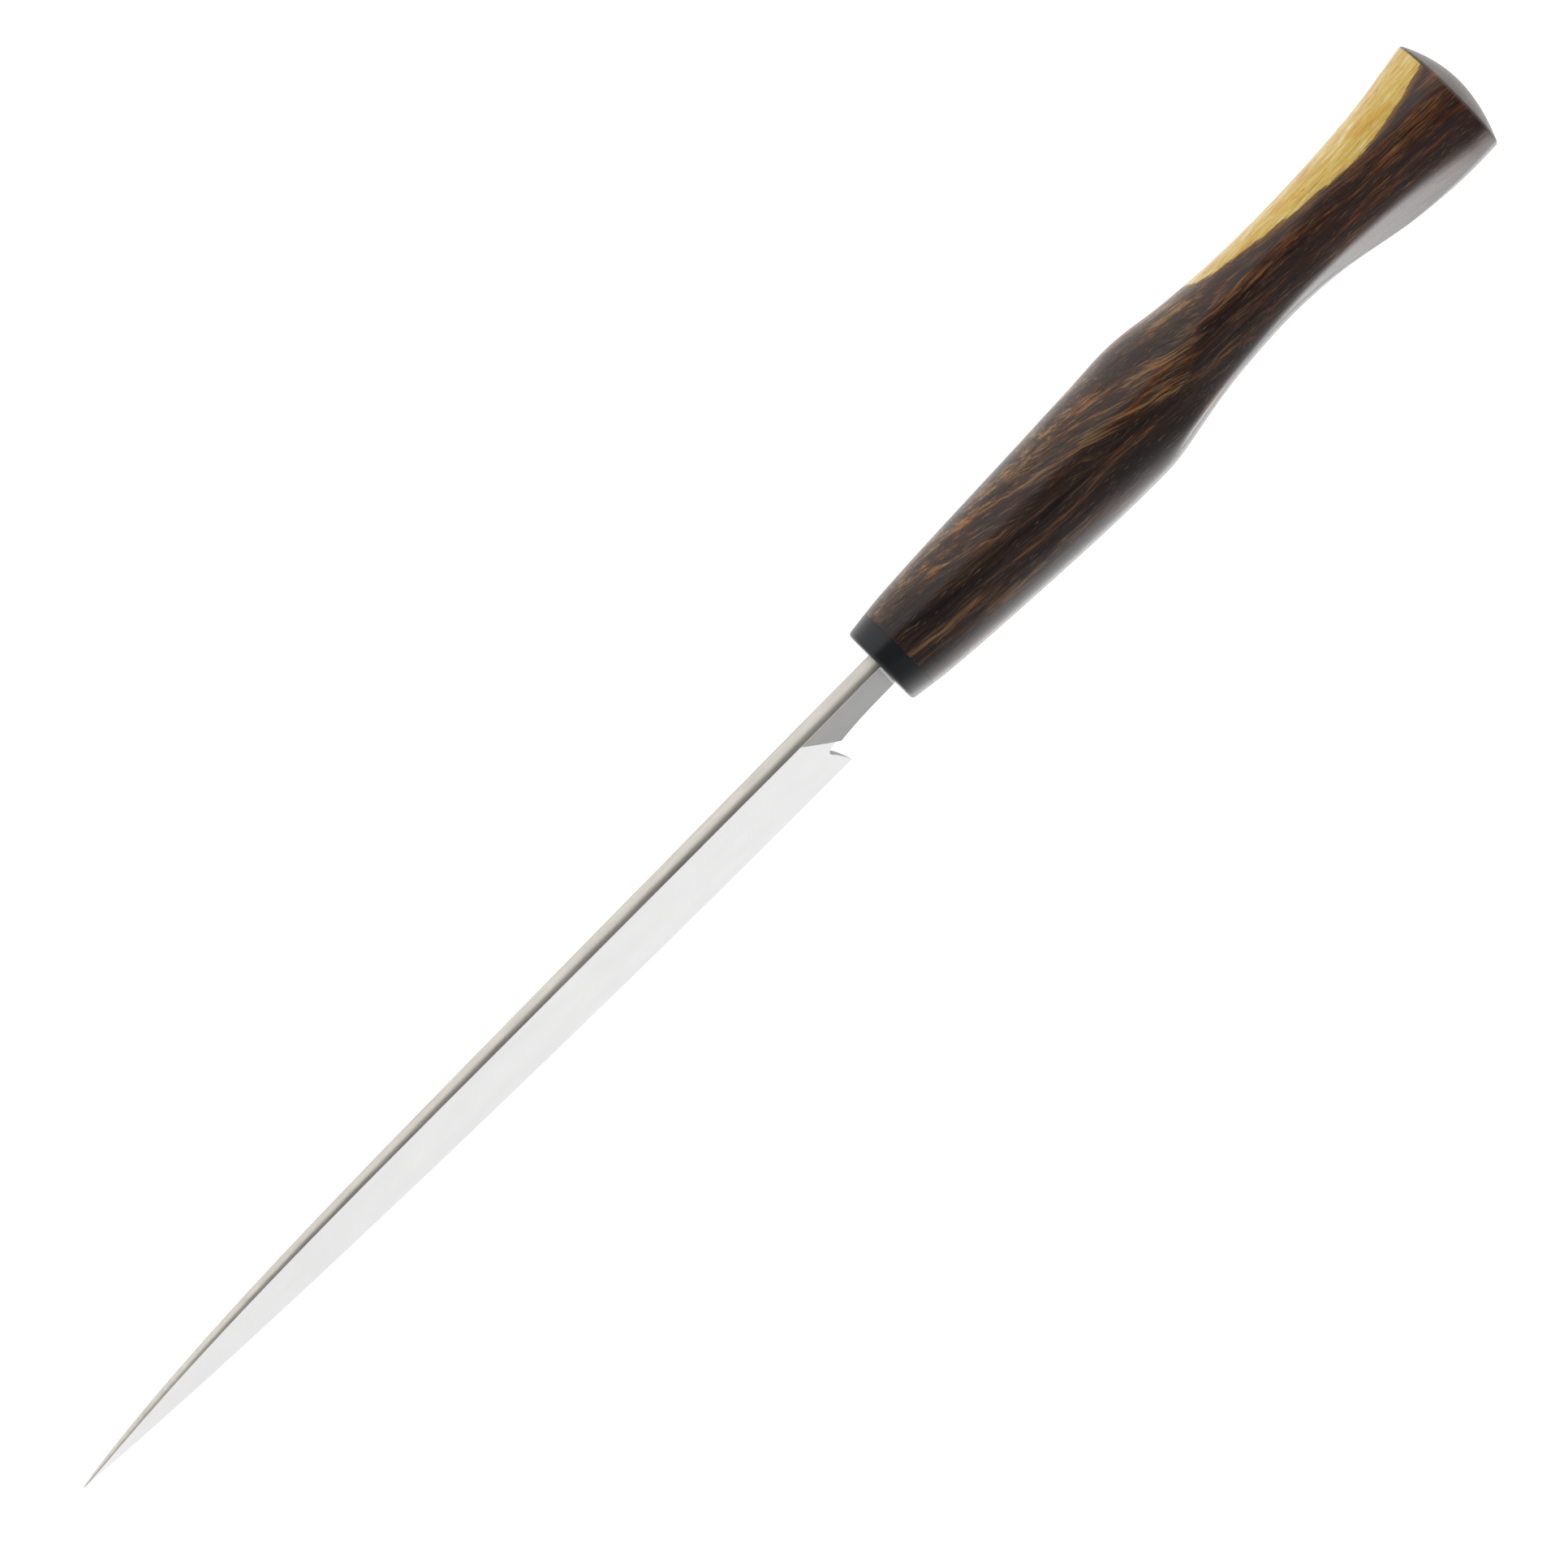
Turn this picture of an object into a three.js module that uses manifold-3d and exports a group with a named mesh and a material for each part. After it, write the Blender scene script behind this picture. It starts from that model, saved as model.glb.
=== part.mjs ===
// Petty knife: a ground blade with a hidden tang, a black ferrule and a waisted hardwood handle.
// Millimetres. It lies on its right side: +X runs to the tip, +Y to the cutting edge and +Z to the left
// side of the blade, which faces up. Each piece is drawn with X = 0 at the front face of the ferrule,
// Y = 0 at the spine and Z = 0 at the middle plane of the blade. The last lines set the knife down on Z = 0.

import * as THREE from "three";
import { mergeVertices } from "three/addons/utils/BufferGeometryUtils.js";
import Module from "manifold-3d";

const wasm = await Module();
wasm.setup();

// Blade outline
const BLADE_LENGTH = 160; // heel to tip
const NECK_LENGTH = 12.8; // ferrule to heel
const HEEL_DEPTH = 28.4; // spine to edge at the heel
const TIP_DROP = 10.4; // how far the spine falls on its way to the tip
const SPINE_BEND_X = 74; // the spine is straight from the ferrule to here
const SPINE_BEND_POWER = 3.8;
const EDGE_SLOPE_SHARE = 0.08; // shares of the edge's rise: straight slope, even curve, turn at the tip
const EDGE_CURVE_SHARE = 0.8;
const EDGE_TIP_SHARE = 0.12;
const EDGE_TIP_POWER = 10;

// Blade section
const SPINE_THICKNESS = 2.66; // at the plunge line, thinning towards the tip
const DISTAL_POWER = 0.415;
const SPINE_CROWN = 0.12; // rise of the rounded spine, as a share of its thickness
const EDGE_BEVEL_DEPTH = 0.6;
const EDGE_BEVEL_THICKNESS = 0.26; // behind the edge
const EDGE_BEVEL_SHARE = 0.15; // near the tip the edge bevel takes this share of the blade's depth
const EDGE_THICKNESS_SHARE = 0.3; // and is this share of the spine's thickness

// Ricasso, the flat between the bevel and the ferrule
const RICASSO_THICKNESS = 2.7;
const NECK_DEPTH = 11.3; // at the ferrule
const NECK_CORNER_X = 12; // where the neck's underside ends, above the heel
const NECK_CORNER_DEPTH = 12.9;
const NECK_CURVE_POWER = 3;
const PLUNGE_TOP_X = 17.1; // the bevel starts on a slanted line from the spine to the neck's corner
const SHOULDER_CHAMFER = 0.2; // at the ferrule
const CHOIL_APEX = new THREE.Vector2(14.6, 16.4); // deepest point of the notch above the heel
const CHOIL_UPPER_BEND = new THREE.Vector2(14.8, 13.6); // pulls the notch's curve from the neck to its apex
const CHOIL_LOWER_BEND = new THREE.Vector2(13.3, 22); // and from there to the heel

// Tang, hidden in the handle
const TANG_LENGTH = 78;
const TANG_CENTRE = 5.7; // below the spine line
const TANG_FRONT = { thickness: 2.2, depth: 9 };
const TANG_END = { thickness: 1.6, depth: 5 };

// Handle and ferrule
const FERRULE_LENGTH = 4;
const FERRULE_EDGE_RADIUS = 0.6;
const HANDLE_LENGTH = 124; // from the ferrule's front face to the top of the domed butt
const HANDLE_WALL_END = 118; // the domed butt starts behind this
const DOME_HEIGHT = 2.3;
const DOME_CENTRE = 3.2; // below the spine line
const RIM_RADIUS = 0.7;
const RIM_TURN = THREE.MathUtils.degToRad(65); // where the rim's rounding meets the dome

// Handle profiles: [distance behind the ferrule's front face, level or half width]
const TOP_LINE = [[0, -5], [24, -5.6], [80, -6], [121, -6.3]];
const ARCH_CENTRE = [[0, 4.1], [36, 6], [50, 5.9], [63, 6], [84, 10.8], [104, 17.3], [121, 11]];
const ARCH_WIDTH = [
  [0, 6.5], [8, 7.5], [28, 8.6], [50, 9.5], [59, 9.8], [69, 8.6], [84, 8.3], [104, 10.2], [113, 11],
  [121, 12],
];
const GROUND_SIDES = [
  [0, 12], [45, 11], [59, 9.6], [72, 7.8], [84, 6.9], [97, 7.15], [109, 8.1], [121, 10.2],
];
// The more, the sharper the line where a ground side meets the rounded top
const SIDE_SHARPNESS = [[0, 36], [95, 36], [121, 16]];
// The ground sides close in towards the belly by this share of the way down
const SIDE_TAPER = [[0, 0.03], [48, 0.05], [62, 0.2], [76, 0.1], [104, 0.04], [121, -0.01]];
const WIDEST_LINE = [
  [0, 4.1], [36, 6], [50, 5.4], [63, 3], [78, 2.8], [90, 6.8], [103, 14.2], [110, 13.1], [121, 5.6],
];
const BELLY_LINE = [
  [0, 15.2], [22, 17.5], [44, 19], [56, 17.6], [67, 13.7], [90, 15.4], [104, 20], [113, 21.6], [121, 18.2],
];

// Glued joints
const GLUE_LINE = 0.1; // gap between two glued faces
const BEDDING = { thickness: 4.2, depth: 10.6, length: 80 };
const PIN_RADIUS = 1;
const PIN_LENGTH = 8;
const PIN_IN_FERRULE = 2.4;
const PIN_LEVELS = { spine: -1.9, belly: 12.4 }; // below the spine line

// Mesh detail
const ARCH_STEPS = 11;
const BELLY_STEPS = 7;
const CROWN_POINTS = 5;
const BLADE_STATIONS = 30;
const STATION_CROWDING = 1.6; // more than 1 sets the stations closer towards the tip
const TIP_CAP = 0.15; // the last section stands this far behind the tip
const RICASSO_STEPS = 6;
const HANDLE_STEP = 4;
const ROUND_STEPS = 3;
const DOME_SCALES = [0.34, 0.62, 0.85];
const PIN_SIDES = 16;
const CURVE_STEPS = 8;
const MERGE_DISTANCE = 1e-4;

// Sizes that follow from those above
const TIP_X = NECK_LENGTH + BLADE_LENGTH;
const BEVEL_BACK_X = NECK_CORNER_X - 0.4; // the bevelled blade starts inside the ricasso
const HANDLE_FRONT_X = -FERRULE_LENGTH - GLUE_LINE;
const RIM_DISTANCE = TOP_LINE[TOP_LINE.length - 1][0];
const PIN_FRONT_X = PIN_IN_FERRULE - FERRULE_LENGTH;
const CUT = 40; // reach of a cutting solid past what it cuts

const steel = new THREE.MeshStandardMaterial({ color: 0xd2d0cb, metalness: 1, roughness: 0.32 });
const blackComposite = new THREE.MeshStandardMaterial({ color: 0x17181a, metalness: 0, roughness: 0.35 });
const darkWood = new THREE.MeshStandardMaterial({ color: 0x3b251a, metalness: 0, roughness: 0.38 });
const epoxy = new THREE.MeshStandardMaterial({ color: 0xcdbb8c, metalness: 0, roughness: 0.4 });
const pinSteel = new THREE.MeshStandardMaterial({ color: 0xb8b8b6, metalness: 1, roughness: 0.4 });

// A smooth curve of size against distance through a few [distance, size] points.
function profile(points) {
  const slopes = points.map((_, i) => {
    const before = points[Math.max(i - 1, 0)];
    const after = points[Math.min(i + 1, points.length - 1)];
    return (after[1] - before[1]) / (after[0] - before[0]);
  });
  return (at) => {
    const after = points.findIndex((p) => p[0] > at);
    const i = after < 0 ? points.length - 2 : Math.max(after - 1, 0);
    const [[x0, y0], [x1, y1]] = [points[i], points[i + 1]];
    const span = x1 - x0;
    const t = (at - x0) / span;
    const turn = t * t * (3 - 2 * t);
    const start = t * (1 - t) ** 2 * span * slopes[i];
    const end = t * t * (t - 1) * span * slopes[i + 1];
    return y0 + (y1 - y0) * turn + start + end;
  };
}

// A closed skin over loops of points that follow each other along +X. Each loop runs from +Y towards +Z.
// The two ends close on the loops' middles, or on the points that are given.
function loft(loops, { startPoint, endPoint } = {}) {
  const count = loops[0].length;
  const middle = (loop) => loop.reduce((sum, p) => sum.add(p), new THREE.Vector3()).divideScalar(count);
  const points = [
    ...loops.flat(),
    startPoint ?? middle(loops[0]),
    endPoint ?? middle(loops[loops.length - 1]),
  ];
  const start = points.length - 2;
  const end = points.length - 1;
  const lastLoop = (loops.length - 1) * count;
  const index = [];
  for (let i = 0; i < count; i++) {
    const next = (i + 1) % count;
    for (let base = 0; base < lastLoop; base += count) {
      index.push(base + i, base + next, base + count + i);
      index.push(base + next, base + count + next, base + count + i);
    }
    index.push(start, next, i);
    index.push(end, lastLoop + i, lastLoop + next);
  }
  const geometry = new THREE.BufferGeometry().setFromPoints(points);
  geometry.setIndex(index);
  return geometry;
}

// A closed three.js geometry as a solid that can be joined and cut.
function solid(geometry) {
  geometry.deleteAttribute("normal");
  geometry.deleteAttribute("uv");
  const merged = mergeVertices(geometry, MERGE_DISTANCE);
  return new wasm.Manifold(new wasm.Mesh({
    numProp: 3,
    vertProperties: new Float32Array(merged.attributes.position.array),
    triVerts: new Uint32Array(merged.index.array),
  }));
}

// A named mesh of a solid.
function piece(name, body, material) {
  const { vertProperties, triVerts } = body.getMesh();
  const geometry = new THREE.BufferGeometry();
  geometry.setAttribute("position", new THREE.BufferAttribute(vertProperties, 3));
  geometry.setIndex(new THREE.BufferAttribute(triVerts, 1));
  geometry.computeVertexNormals();
  const mesh = new THREE.Mesh(geometry, material);
  mesh.name = name;
  return mesh;
}

// An outline in X and Y, cut right through the blade's thickness.
function prism(shape) {
  const options = { depth: 2 * CUT, bevelEnabled: false, curveSegments: CURVE_STEPS };
  return solid(new THREE.ExtrudeGeometry(shape, options).translate(0, 0, -CUT));
}

// A section with a glue line added all round.
function grown({ thickness, depth }) {
  return { thickness: thickness + 2 * GLUE_LINE, depth: depth + 2 * GLUE_LINE };
}

// A block on the tang's line, from one X to another.
function tangBlock(xBack, xFront, size, sizeBack = size) {
  const rectangle = (x, { thickness, depth }) => [[1, -1], [1, 1], [-1, 1], [-1, -1]].map(
    ([y, z]) => new THREE.Vector3(x, TANG_CENTRE + (y * depth) / 2, (z * thickness) / 2),
  );
  return solid(loft([rectangle(xBack, sizeBack), rectangle(xFront, size)]));
}

// Blade curves

function spineAt(x) {
  const share = Math.max(0, (x - SPINE_BEND_X) / (TIP_X - SPINE_BEND_X));
  return TIP_DROP * share ** SPINE_BEND_POWER;
}

function edgeAt(x) {
  const share = Math.max(0, (x - NECK_LENGTH) / BLADE_LENGTH);
  const curve = EDGE_SLOPE_SHARE * share + EDGE_CURVE_SHARE * share ** 2;
  const turn = EDGE_TIP_SHARE * share ** EDGE_TIP_POWER;
  return HEEL_DEPTH - (HEEL_DEPTH - TIP_DROP) * (curve + turn);
}

function thicknessAt(x) {
  const share = Math.max(0, (x - PLUNGE_TOP_X) / (TIP_X - PLUNGE_TOP_X));
  return SPINE_THICKNESS * (1 - share) ** DISTAL_POWER;
}

function neckDepthAt(x) {
  return NECK_DEPTH + (NECK_CORNER_DEPTH - NECK_DEPTH) * (x / NECK_CORNER_X) ** NECK_CURVE_POWER;
}

// The rounded spine, from its left corner to its right corner.
function crown(x, level, thickness) {
  const points = [];
  for (let i = 0; i < CROWN_POINTS; i++) {
    const across = 1 - (2 * i) / (CROWN_POINTS - 1);
    const rise = SPINE_CROWN * thickness * (1 - across ** 2);
    points.push(new THREE.Vector3(x, level - rise, (across * thickness) / 2));
  }
  return points;
}

// One section of the bevelled blade: the edge, the left face, the spine and the right face.
function bevelLoop(x) {
  const spine = spineAt(x);
  const edge = edgeAt(x);
  const thickness = thicknessAt(x);
  const bevel = Math.min(EDGE_BEVEL_DEPTH, EDGE_BEVEL_SHARE * (edge - spine));
  const behindEdge = Math.min(EDGE_BEVEL_THICKNESS, EDGE_THICKNESS_SHARE * thickness) / 2;
  return [
    new THREE.Vector3(x, edge, 0),
    new THREE.Vector3(x, edge - bevel, behindEdge),
    ...crown(x, spine, thickness),
    new THREE.Vector3(x, edge - bevel, -behindEdge),
  ];
}

// One section of the ricasso, drawn in from its outline by the shoulder's chamfer.
function ricassoLoop(x, chamfer = 0) {
  const thickness = RICASSO_THICKNESS - 2 * chamfer;
  const depth = neckDepthAt(x) - chamfer;
  return [
    new THREE.Vector3(x, depth, thickness / 2),
    ...crown(x, chamfer, thickness),
    new THREE.Vector3(x, depth, -thickness / 2),
  ];
}

// The space behind the heel, with the rounded notch under the neck.
function choilCutter() {
  const shape = new THREE.Shape();
  shape.moveTo(0, NECK_DEPTH);
  shape.lineTo(BEVEL_BACK_X, NECK_DEPTH);
  shape.lineTo(NECK_CORNER_X, NECK_CORNER_DEPTH);
  shape.quadraticCurveTo(CHOIL_UPPER_BEND.x, CHOIL_UPPER_BEND.y, CHOIL_APEX.x, CHOIL_APEX.y);
  shape.quadraticCurveTo(CHOIL_LOWER_BEND.x, CHOIL_LOWER_BEND.y, NECK_LENGTH, HEEL_DEPTH);
  shape.lineTo(NECK_LENGTH, CUT);
  shape.lineTo(0, CUT);
  return prism(shape);
}

// Everything behind the plunge line.
function ricassoZone() {
  const lean = (PLUNGE_TOP_X - NECK_CORNER_X) / NECK_CORNER_DEPTH;
  const shape = new THREE.Shape();
  shape.moveTo(-CUT, -CUT);
  shape.lineTo(PLUNGE_TOP_X + lean * CUT, -CUT);
  shape.lineTo(PLUNGE_TOP_X - lean * CUT, CUT);
  shape.lineTo(-CUT, CUT);
  return prism(shape);
}

function bladeSolid() {
  const loops = [];
  for (let i = 0; i <= BLADE_STATIONS; i++) {
    const share = 1 - (1 - i / BLADE_STATIONS) ** STATION_CROWDING;
    loops.push(bevelLoop(BEVEL_BACK_X + (TIP_X - TIP_CAP - BEVEL_BACK_X) * share));
  }
  const tip = new THREE.Vector3(TIP_X, TIP_DROP, 0);
  const bevel = solid(loft(loops, { endPoint: tip })).subtract(choilCutter());

  const shoulderBack = GLUE_LINE;
  const shoulderFront = shoulderBack + SHOULDER_CHAMFER;
  const ricassoLoops = [ricassoLoop(shoulderBack, SHOULDER_CHAMFER)];
  for (let i = 0; i <= RICASSO_STEPS; i++) {
    ricassoLoops.push(ricassoLoop(shoulderFront + ((NECK_CORNER_X - shoulderFront) * i) / RICASSO_STEPS));
  }
  const overrun = ricassoLoop(NECK_CORNER_X).map((p) => p.setX(CUT));
  const ricasso = solid(loft([...ricassoLoops, overrun])).intersect(ricassoZone());

  const tang = tangBlock(-TANG_LENGTH, shoulderFront, TANG_FRONT, TANG_END);
  return bevel.add(ricasso).add(tang);
}

// Handle curves

const topAt = profile(TOP_LINE);
const archCentreAt = profile(ARCH_CENTRE);
const archWidthAt = profile(ARCH_WIDTH);
const groundSideAt = profile(GROUND_SIDES);
const sharpnessAt = profile(SIDE_SHARPNESS);
const taperAt = profile(SIDE_TAPER);
const widestAt = profile(WIDEST_LINE);
const bellyAt = profile(BELLY_LINE);

// The handle section at a distance behind the ferrule's front face: an arch over the top, which the ground
// sides cut towards the butt, and a half oval for the belly. The inset draws it in all round.
function handleOval(distance, inset = 0) {
  const widest = widestAt(distance);
  const centre = archCentreAt(distance);
  const rise = centre - topAt(distance) - inset;
  const below = bellyAt(distance) - widest - inset;
  const width = archWidthAt(distance) - inset;
  const sharpness = sharpnessAt(distance);
  const archEnd = Math.acos((centre - widest) / rise);
  const archPoint = (turn) => {
    const y = centre - rise * Math.cos(turn);
    const z = width * Math.sin(turn);
    const side = groundSideAt(distance) - inset - taperAt(distance) * y;
    return { y, z: z / (1 + (z / side) ** sharpness) ** (1 / sharpness) };
  };
  const half = archPoint(archEnd).z;

  const left = [];
  for (let i = 0; i < BELLY_STEPS; i++) {
    const turn = ((Math.PI / 2) * i) / BELLY_STEPS;
    left.push({ y: widest + below * Math.cos(turn), z: half * Math.sin(turn) });
  }
  for (let i = ARCH_STEPS; i >= 0; i--) {
    left.push(archPoint((archEnd * i) / ARCH_STEPS));
  }
  const right = left.slice(1, -1).reverse().map(({ y, z }) => ({ y, z: -z }));
  return [...left, ...right];
}

function handleLoop(distance, inset) {
  return handleOval(distance, inset).map(({ y, z }) => new THREE.Vector3(-distance, y, z));
}

// The round end of the handle, from its top to the wall.
function buttLoops() {
  const rimX = DOME_HEIGHT - HANDLE_LENGTH;
  const rimInset = (turn) => RIM_RADIUS * (1 - Math.cos(turn));
  const domeEdge = handleOval(RIM_DISTANCE, rimInset(RIM_TURN));
  const loops = DOME_SCALES.map((scale) => domeEdge.map(({ y, z }) => new THREE.Vector3(
    DOME_HEIGHT * scale ** 2 - HANDLE_LENGTH,
    DOME_CENTRE + scale * (y - DOME_CENTRE),
    scale * z,
  )));
  for (let i = ROUND_STEPS; i >= 0; i--) {
    const turn = (RIM_TURN * i) / ROUND_STEPS;
    const x = rimX + RIM_RADIUS * (Math.sin(RIM_TURN) - Math.sin(turn));
    loops.push(handleOval(RIM_DISTANCE, rimInset(turn)).map(({ y, z }) => new THREE.Vector3(x, y, z)));
  }
  return loops;
}

// A round bar along X, for a pin or its hole.
function bar(level, radius, xBack, xFront) {
  const length = xFront - xBack;
  const cylinder = new THREE.CylinderGeometry(radius, radius, length, PIN_SIDES).rotateZ(Math.PI / 2);
  return solid(cylinder.translate(xBack + length / 2, level, 0));
}

function pinSolid(level) {
  return bar(level, PIN_RADIUS, PIN_FRONT_X - PIN_LENGTH, PIN_FRONT_X);
}

function withPinHoles(body) {
  const hole = (level) => bar(
    level,
    PIN_RADIUS + GLUE_LINE,
    PIN_FRONT_X - PIN_LENGTH - GLUE_LINE,
    PIN_FRONT_X + GLUE_LINE,
  );
  return Object.values(PIN_LEVELS).reduce((rest, level) => rest.subtract(hole(level)), body);
}

function ferruleSolid() {
  const loops = [handleLoop(FERRULE_LENGTH), handleLoop((FERRULE_LENGTH + FERRULE_EDGE_RADIUS) / 2)];
  for (let i = 0; i <= ROUND_STEPS; i++) {
    const turn = ((Math.PI / 2) * i) / ROUND_STEPS;
    const distance = FERRULE_EDGE_RADIUS * (1 - Math.sin(turn));
    loops.push(handleLoop(distance, FERRULE_EDGE_RADIUS * (1 - Math.cos(turn))));
  }
  const slot = tangBlock(-CUT, CUT, grown(TANG_FRONT));
  return withPinHoles(solid(loft(loops)).subtract(slot));
}

function handleSolid() {
  const apex = new THREE.Vector3(-HANDLE_LENGTH, DOME_CENTRE, 0);
  const loops = buttLoops();
  const wall = HANDLE_WALL_END + HANDLE_FRONT_X;
  const steps = Math.round(wall / HANDLE_STEP);
  for (let i = steps; i >= 0; i--) {
    loops.push(handleLoop((wall * i) / steps - HANDLE_FRONT_X));
  }
  const mortise = tangBlock(HANDLE_FRONT_X - BEDDING.length - GLUE_LINE, 0, grown(BEDDING));
  return withPinHoles(solid(loft(loops, { startPoint: apex })).subtract(mortise));
}

// The cured adhesive that fills the mortise round the tang.
function beddingSolid() {
  const block = tangBlock(HANDLE_FRONT_X - BEDDING.length, HANDLE_FRONT_X, BEDDING);
  const pocket = tangBlock(-TANG_LENGTH - GLUE_LINE, 0, grown(TANG_FRONT), grown(TANG_END));
  return block.subtract(pocket);
}

// Assembly

const parts = new THREE.Group();
parts.add(
  piece("blade", bladeSolid(), steel),
  piece("ferrule", ferruleSolid(), blackComposite),
  piece("handle_body", handleSolid(), darkWood),
  piece("tang_bedding", beddingSolid(), epoxy),
);
for (const [place, level] of Object.entries(PIN_LEVELS)) {
  parts.add(piece(`ferrule_pin_${place}`, pinSolid(level), pinSteel));
}

// The origin goes on the table, under the middle of the knife.
const box = new THREE.Box3().setFromObject(parts, true);
const middle = box.getCenter(new THREE.Vector3());
parts.position.set(-middle.x, -middle.y, -box.min.z);

const knife = new THREE.Group();
knife.add(parts);

export default knife;
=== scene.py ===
# Looks of the petty knife, built round its CAD model.
# Sizes are millimetres in the knife's own coordinates: X = 0 at the front face of the ferrule and +X to
# the tip, Y = 0 at the spine and +Y to the cutting edge, Z = 0 at the blade's middle and +Z to its left side.

import math

import bmesh
import bpy
from mathutils import Matrix, Vector


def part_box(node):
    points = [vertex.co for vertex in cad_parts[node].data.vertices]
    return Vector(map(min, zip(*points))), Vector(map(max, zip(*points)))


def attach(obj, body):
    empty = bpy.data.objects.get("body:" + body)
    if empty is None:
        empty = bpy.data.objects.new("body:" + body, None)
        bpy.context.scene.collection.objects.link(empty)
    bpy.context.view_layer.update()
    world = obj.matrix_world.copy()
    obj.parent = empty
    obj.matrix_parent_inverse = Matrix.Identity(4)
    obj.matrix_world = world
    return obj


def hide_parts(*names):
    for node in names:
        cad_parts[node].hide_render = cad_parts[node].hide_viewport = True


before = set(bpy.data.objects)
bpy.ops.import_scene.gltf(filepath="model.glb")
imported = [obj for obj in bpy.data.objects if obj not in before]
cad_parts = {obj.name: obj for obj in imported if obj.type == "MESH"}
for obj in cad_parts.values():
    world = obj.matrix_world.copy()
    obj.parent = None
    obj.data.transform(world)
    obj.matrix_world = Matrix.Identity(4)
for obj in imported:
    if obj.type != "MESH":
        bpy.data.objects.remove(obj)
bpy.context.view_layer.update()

MM = 0.001

# Blade outline, as in the CAD model
BLADE_LENGTH = 160
NECK_LENGTH = 12.8
HEEL_DEPTH = 28.4
TIP_DROP = 10.4
SPINE_BEND_X = 74
SPINE_BEND_POWER = 3.8
EDGE_SLOPE_SHARE = 0.08
EDGE_CURVE_SHARE = 0.8
EDGE_TIP_SHARE = 0.12
EDGE_TIP_POWER = 10

# Blade section, as in the CAD model
SPINE_THICKNESS = 2.66
DISTAL_POWER = 0.415
SPINE_CROWN = 0.12
EDGE_BEVEL_DEPTH = 0.6
EDGE_BEVEL_THICKNESS = 0.26
EDGE_BEVEL_SHARE = 0.15
EDGE_THICKNESS_SHARE = 0.3
RICASSO_THICKNESS = 2.7
NECK_DEPTH = 11.3
NECK_CORNER_X = 12
NECK_CORNER_DEPTH = 12.9
NECK_CURVE_POWER = 3
PLUNGE_TOP_X = 17.1
CHOIL_APEX = (14.6, 16.4)
CHOIL_UPPER_BEND = (14.8, 13.6)
CHOIL_LOWER_BEND = (13.3, 22)
TANG_LENGTH = 78
TANG_CENTRE = 5.7
TANG_FRONT = (2.2, 9)  # thickness and depth
TANG_END = (1.6, 5)

# Handle and ferrule, as in the CAD model
FERRULE_LENGTH = 4
FERRULE_EDGE_RADIUS = 0.6
HANDLE_LENGTH = 124
HANDLE_WALL_END = 118
DOME_HEIGHT = 2.3
DOME_CENTRE = 3.2
RIM_RADIUS = 0.7
RIM_TURN = math.radians(65)
RIM_DISTANCE = 121
TOP_LINE = [(0, -5), (24, -5.6), (80, -6), (121, -6.3)]
ARCH_CENTRE = [(0, 4.1), (36, 6), (50, 5.9), (63, 6), (84, 10.8), (104, 17.3), (121, 11)]
ARCH_WIDTH = [
    (0, 6.5), (8, 7.5), (28, 8.6), (50, 9.5), (59, 9.8), (69, 8.6), (84, 8.3), (104, 10.2), (113, 11),
    (121, 12),
]
GROUND_SIDES = [
    (0, 12), (45, 11), (59, 9.6), (72, 7.8), (84, 6.9), (97, 7.15), (109, 8.1), (121, 10.2),
]
SIDE_SHARPNESS = [(0, 36), (95, 36), (121, 16)]
SIDE_TAPER = [(0, 0.03), (48, 0.05), (62, 0.2), (76, 0.1), (104, 0.04), (121, -0.01)]
WIDEST_LINE = [
    (0, 4.1), (36, 6), (50, 5.4), (63, 3), (78, 2.8), (90, 6.8), (103, 14.2), (110, 13.1), (121, 5.6),
]
BELLY_LINE = [
    (0, 15.2), (22, 17.5), (44, 19), (56, 17.6), (67, 13.7), (90, 15.4), (104, 20), (113, 21.6), (121, 18.2),
]
GLUE_LINE = 0.1
BEDDING = (4.2, 10.6)
BEDDING_LENGTH = 80

# Detail that only the looks have
PLUNGE_FILLET = 0.12  # how far the rounded plunge runs into the bevel
EASING_DEPTH = 0.16  # eased corner of the ricasso's spine, down the face and across the spine
EASING_WIDTH = 0.05
BEVEL_EASING = 0.2  # share of it that is left on the bevelled blade
EASING_END_X = 24
SHOULDER_ROUND = 0.5  # rounded lower corner of the ricasso at the ferrule
SHOULDER_HIGHLIGHT_WIDTH = 0.38  # width of the strip next to the ferrule that is painted lighter: a painted highlight for the chamfer at the ricasso's end, which catches the light
JOINT_GAP = 0.02  # ferrule to its neighbours, as close as they look

# Fineness of the meshes
RICASSO_ROWS = 10
HEEL_ROWS = 20
SHOULDER_STEPS = 8
RICASSO_STEPS = 24
BLADE_STEPS = 120
CROWN_STEPS = 12
BELLY_STEPS = 28
ARCH_STEPS = 52
HANDLE_STEPS = 120
FERRULE_STEPS = 6
RIM_STEPS = 8
DOME_STEPS = 14
MERGE_DISTANCE = 2e-7  # in metres
LEAST_DEPTH = 1e-6  # keeps the bevel's depth above zero at the tip
BLADE_SHARP_ANGLE = 9  # in degrees: sharper edges aren't shaded smooth
HANDLE_SHARP_ANGLE = 30

# Steel
GRINDING_LINE = (8, 0.2, 1)  # length, width and depth of one line
ROUGHNESS_SPREAD = 0.06

# Places in the wood
LAYER_TILT = math.radians(16.5)  # the layers' lean from the plane of the blade
SLANTED_SLOPE = 0.28  # climb of the layers along the handle, in its two kinds of figure
LEVEL_SLOPE = 0.08
SLANT_END_X = -62  # the slanted figure runs out behind this
REAR_FADE = 25  # the redder tone of the rear half sets in over this length
SAP_PEAK_X = -104.2  # where the sapwood is widest
SAP_PEAK = -1.57  # and how far across the layers it reaches there
SAP_START_X = -76.5  # it soon runs out ahead of this
END_GRAIN_X = -121.1  # the butt starts here
END_GRAIN_FADE = 0.4

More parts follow.
